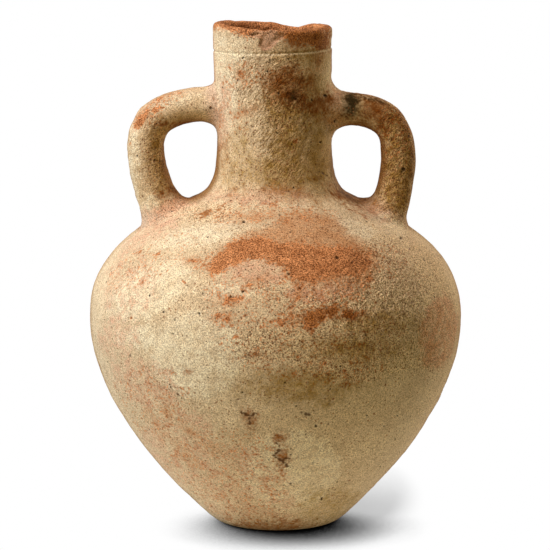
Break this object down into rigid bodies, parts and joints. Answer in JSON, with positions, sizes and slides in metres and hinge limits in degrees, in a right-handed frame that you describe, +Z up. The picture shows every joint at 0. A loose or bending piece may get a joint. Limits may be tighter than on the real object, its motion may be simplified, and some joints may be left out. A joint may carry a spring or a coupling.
{
  "type": "two-handled jug",
  "caption": "Thrown earthenware jar with a round belly, small flat base, tall neck and a loop handle on each side; cream slip worn through to red clay",
  "frame": {"origin": "on the floor, in the middle of the base of the whole jar's box, under the belly's axis", "axes": "+Z up, the handles stand along X, and -Y is the side seen in the picture"},
  "size_m": [0.222, 0.222, 0.3],
  "materials": {
    "body_slip": "unglazed earthenware under a thin matt cream slip, pitted and worn through to red clay",
    "neck_slip": "the same slip, coarser and stained brown, with a bare red worn mouth",
    "handle_slip": "the same slip, hand-smoothed, rubbed to red clay on the upper bends",
    "luting_clay": "matt pinkish clay wiped round the handle roots"
  },
  "bodies": {
    "root": {"lower_body": "body_slip", "shoulder": "body_slip", "neck": "neck_slip", "left_handle": "handle_slip", "right_handle": "handle_slip", "left_handle_upper_luting": "luting_clay", "left_handle_lower_luting": "luting_clay", "right_handle_upper_luting": "luting_clay", "right_handle_lower_luting": "luting_clay"}
  },
  "joints": []
}
